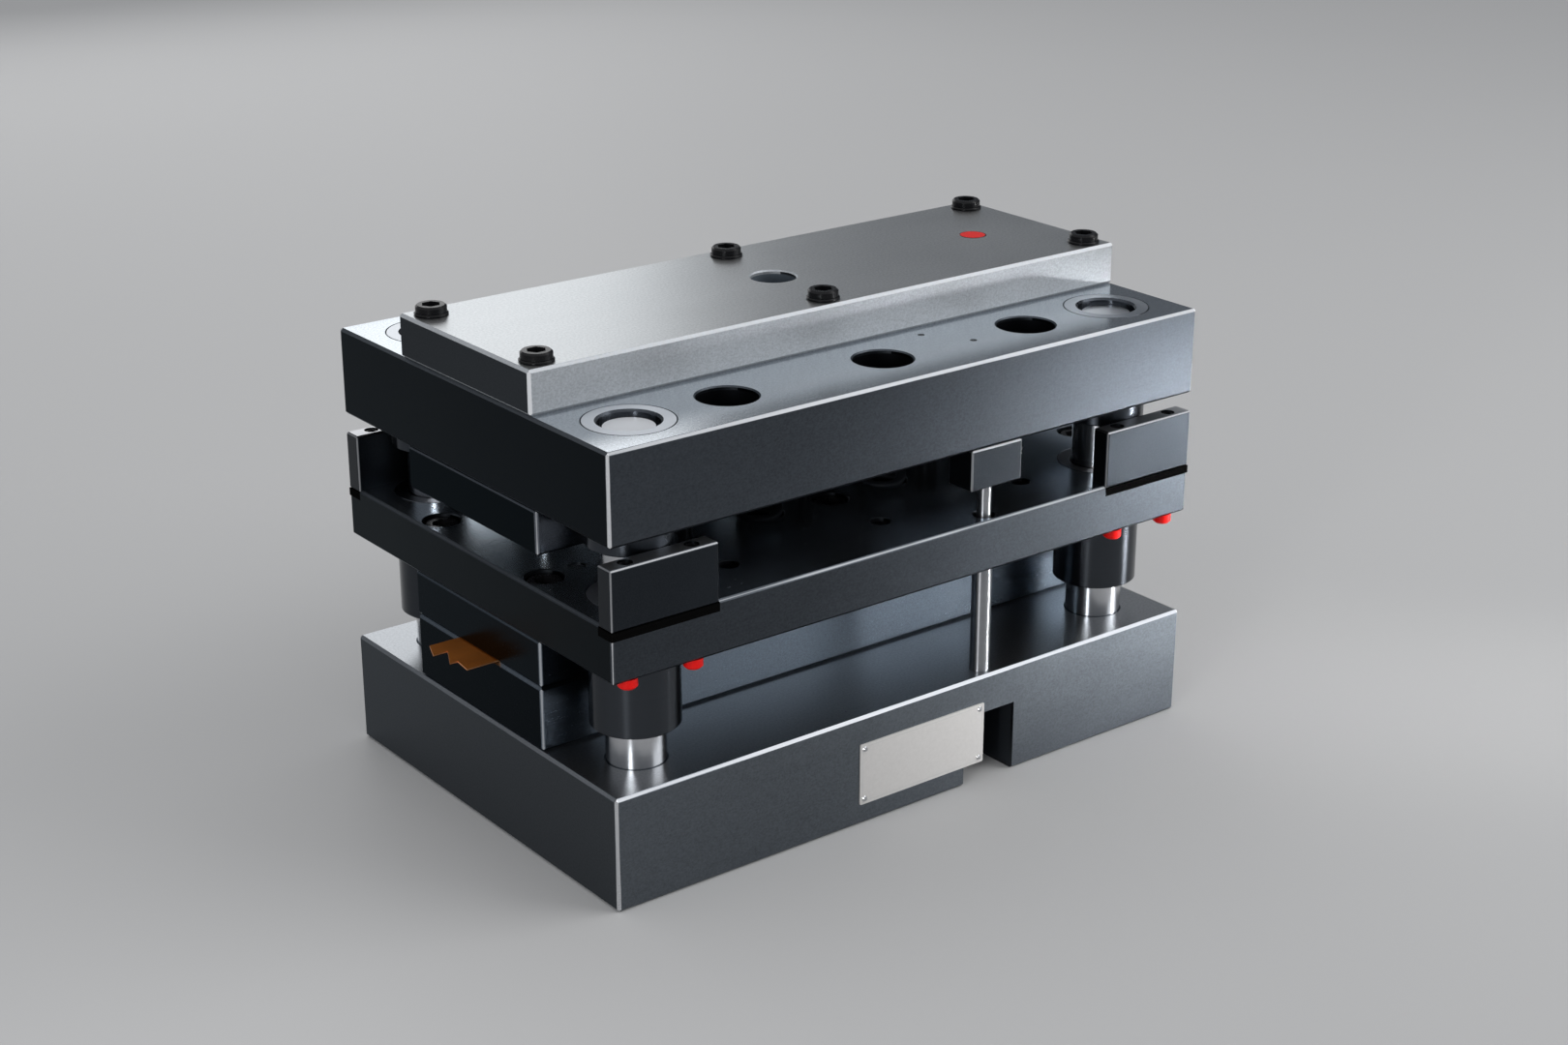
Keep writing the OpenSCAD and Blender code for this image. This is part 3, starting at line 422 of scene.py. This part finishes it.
def block_steel(name, node, length, width):
    """Satin block: fine even grain, a top painted light as painted light, and thin edges at its
    outer corners and top that are worn and painted bright as a painted highlight.
    """
    low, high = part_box(node)
    centre = (low + high) / 2
    half = (high - low) / 2
    steel = Finish(name, (0.08, 0.09, 0.105), 0.36)
    place = steel.place()
    across = half.x - (place[0] - centre.x).size()
    along = half.y - (place[1] - centre.y).size()
    to_end = across.smaller(length - across)
    to_side = along.smaller(width - along)
    below_top = high.z - place[2]
    side_edge = to_side.larger(below_top)
    end_edge = to_end.larger(below_top)
    from_edge = to_end.larger(to_side).smaller(side_edge).smaller(end_edge)
    worn_and_highlit = 1 - from_edge.rising(block_edge, block_edge + block_edge_fade)
    on_top = steel.facing()[2].square_on()
    fine = steel.grain((1400, 1400, 1400), 3)
    cloud = steel.grain((25, 25, 25), 2)
    satin = steel.mixed(fine * 0.8 + cloud * 0.2, (0.014, 0.017, 0.021), (0.036, 0.042, 0.05))
    # Painted light on the top, and worn edges that are also a painted highlight.
    steel.set("Base Color", steel.mixed((worn_and_highlit * 0.4).larger(on_top * 0.8), satin, (0.6, 0.61, 0.63)))
    steel.set("Roughness", fine * 0.1 + cloud * 0.04 + 0.29)
    steel.bump(fine, 0.25, 0.0001)
    steel.give(node)


corner_length = 0.082
corner_width = 0.015
block_steel("corner_steel", "corner_blocks", corner_length, corner_width)

# Corner pads. Black rubber between the corner blocks and the stripper, cut to the blocks' outline
# and clamped by their screws.
black_rubber = Finish("black_rubber", (0.003, 0.003, 0.003), 0.8, 0.0, Specular_IOR_Level=0.0)
rubber_speck = black_rubber.grain((900, 900, 900), 3)
rubber_tone = black_rubber.mixed(rubber_speck, (0.002, 0.002, 0.002), (0.004, 0.004, 0.004))
black_rubber.set("Base Color", rubber_tone)
black_rubber.set("Roughness", rubber_speck * 0.2 + 0.5)
black_rubber.bump(rubber_speck, 0.3, 0.0001)
black_rubber.give("corner_pads")

# Bumpers. Eight round buttons of red rubber under the stripper, held by the screws of the corner
# blocks.
red_rubber = Finish("red_rubber", (0.75, 0.01, 0.01), 0.4, 0.0, Specular_IOR_Level=0.2)
bumper_speck = red_rubber.grain((700, 700, 700), 3)
red_rubber.set("Base Color", red_rubber.mixed(bumper_speck, (0.62, 0.004, 0.003), (0.82, 0.008, 0.006)))
red_rubber.set("Roughness", bumper_speck * 0.2 + 0.28)
red_rubber.bump(bumper_speck, 0.15, 0.0001)
red_rubber.give("bumpers")

# Die springs. Eight springs of flat steel wire, painted, with closed ends ground flat. They are
# wound at one length and carried with the stripper.
spring_low, spring_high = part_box("die_springs")
spring_columns = (-0.165, -0.055, 0.055, 0.165)
spring_rows = (-0.056, 0.056)
spring_radius = 0.016
wire_width = 0.007
wire_height = 0.004
wire_rounding = 0.0012
closed_pitch = wire_height * 0.9
end_turns = 0.75
turns = 6
steps_per_turn = 36
active_turns = turns - 2 * end_turns
rise = spring_high.z - spring_low.z - wire_height
end_rise = closed_pitch * end_turns
active_rise = rise - 2 * end_rise
wound_parts = ((end_turns, end_rise), (active_turns, active_rise), (end_turns, end_rise))
springs_shape = bmesh.new()
for x in spring_columns:
    for y in spring_rows:
        wire = bmesh.new()
        bmesh.ops.create_grid(wire, x_segments=1, y_segments=1, size=0.5)
        bmesh.ops.scale(wire, verts=wire.verts, vec=(wire_width, wire_height, 1))
        bmesh.ops.bevel(wire, geom=wire.verts[:], offset=wire_rounding, offset_type="OFFSET",
                        affect="VERTICES", segments=3, profile=0.5, material=-1)
        bmesh.ops.rotate(wire, verts=wire.verts, matrix=Matrix.Rotation(math.radians(90), 3, "X"))
        start = (x + spring_radius - wire_width / 2, y, spring_low.z + wire_height / 2)
        bmesh.ops.translate(wire, verts=wire.verts, vec=start)
        section = wire.verts[:] + wire.edges[:] + wire.faces[:]
        for part_turns, part_rise in wound_parts:
            steps = round(part_turns * steps_per_turn)
            wound = bmesh.ops.spin(wire, geom=section, cent=(x, y, 0), axis=(0, 0, 1),
                                   dvec=(0, 0, part_rise / steps),
                                   angle=math.radians(360) * part_turns, steps=steps,
                                   use_merge=False, use_duplicate=False)
            section = wound["geom_last"]
        bmesh.ops.recalc_face_normals(wire, faces=wire.faces)
        mesh = bpy.data.meshes.new("wire")
        wire.to_mesh(mesh)
        wire.free()
        springs_shape.from_mesh(mesh)
        bpy.data.meshes.remove(mesh)
springs = piece_from("die_springs_wound", springs_shape)
for face in springs.data.polygons:
    face.use_smooth = True
spring_paint = Finish("spring_paint", (0.012, 0.014, 0.018), 0.6, 0.0, Specular_IOR_Level=0.15)
spring_speck = spring_paint.grain((300, 300, 300), 3)
spring_tone = spring_paint.mixed(spring_speck, (0.008, 0.01, 0.013), (0.016, 0.019, 0.024))
spring_paint.set("Base Color", spring_tone)
spring_paint.set("Roughness", spring_speck * 0.2 + 0.5)
spring_paint.bump(spring_speck, 0.15, 0.0001)
spring_paint.give(springs)
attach(springs, "stripper")
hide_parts("die_springs")
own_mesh(springs)

# Upper shoe. A ground steel plate like the lower one, with bores for the hanging bolts along its
# ledges.
ground_steel("shoe_steel_upper", "upper_shoe", (0.007, 0.009, 0.012), (0.08, 0.091, 0.106),
             (0.9, 0.93, 0.97), 0.36, 0.2, end_rim=0.06, tint=0.8)

# Upper bushes. Hardened sleeves like those of the stripper, pressed into the upper shoe and ground
# flush with its top.
# Their tops are painted much lighter than their sides, as painted light.
polished_shaft("upper_bush_steel", "upper_bushes", colour=(0.06, 0.068, 0.08), roughness=0.26,
               lit_top=(0.62, 0.65, 0.69))

# Punch plate. Ground tool steel, screwed and dowelled under the upper shoe, that holds the shanks of
# the punches.
ground_steel("punch_plate_steel", "punch_plate", (0.006, 0.008, 0.01), (0.14, 0.155, 0.18),
             (0.06, 0.066, 0.078), 0.16, 0.24, 0.0012, tint=0.65)

# Probe block and pin. A satin block screwed under the front edge of the upper shoe, and the thin
# polished pin that hangs from it and slides in the sleeve.
probe_low, probe_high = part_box("probe_block")
block_steel("probe_block_steel", "probe_block", (probe_high - probe_low).x, (probe_high - probe_low).y)
polished_shaft("probe_steel", "probe_pin", colour=(0.5, 0.51, 0.53), roughness=0.34)

# Clamp plate. The top plate, by which the press slide holds the upper die. It is finely ground,
# and its steel is painted the lightest of the plates, as painted light.
ground_steel("clamp_steel", "clamp_plate", (0.065, 0.072, 0.081), (0.62, 0.65, 0.68), (0.73, 0.73, 0.73),
             0.6, 0.34, bore_oil_and_shade_colour=(0.16, 0.19, 0.22), relief=0.06, rim=0.6, end_rim=0.5, tint=1.0)

# Marker plug. A glossy red plastic disc with a dark rim, pressed into a hole in the top of the
# clamp plate.
red_plastic = Finish("red_plastic", (0.8, 0.015, 0.01), 0.25, 0.0, Specular_IOR_Level=0.3)
plug_low, plug_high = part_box("marker_plug")
plug_middle = (plug_low + plug_high) / 2
plug_radius = plug_middle.x - plug_low.x
plug_x, plug_y, _ = red_plastic.place()
plug_out = (plug_x - plug_middle.x).length_with(plug_y - plug_middle.y)
plug_rim = plug_out.rising(plug_radius - 0.0012, plug_radius - 0.0006)
plug_speck = red_plastic.grain((700, 700, 700), 3)
plug_tone = red_plastic.mixed(plug_speck, (0.45, 0.006, 0.005), (1, 0.03, 0.02))
red_plastic.set("Base Color", red_plastic.mixed(plug_rim, plug_tone, (0.03, 0.004, 0.004)))
red_plastic.set("Roughness", plug_speck * 0.1 + 0.18)
red_plastic.bump(plug_speck, 0.08, 0.0001)
red_plastic.give("marker_plug")
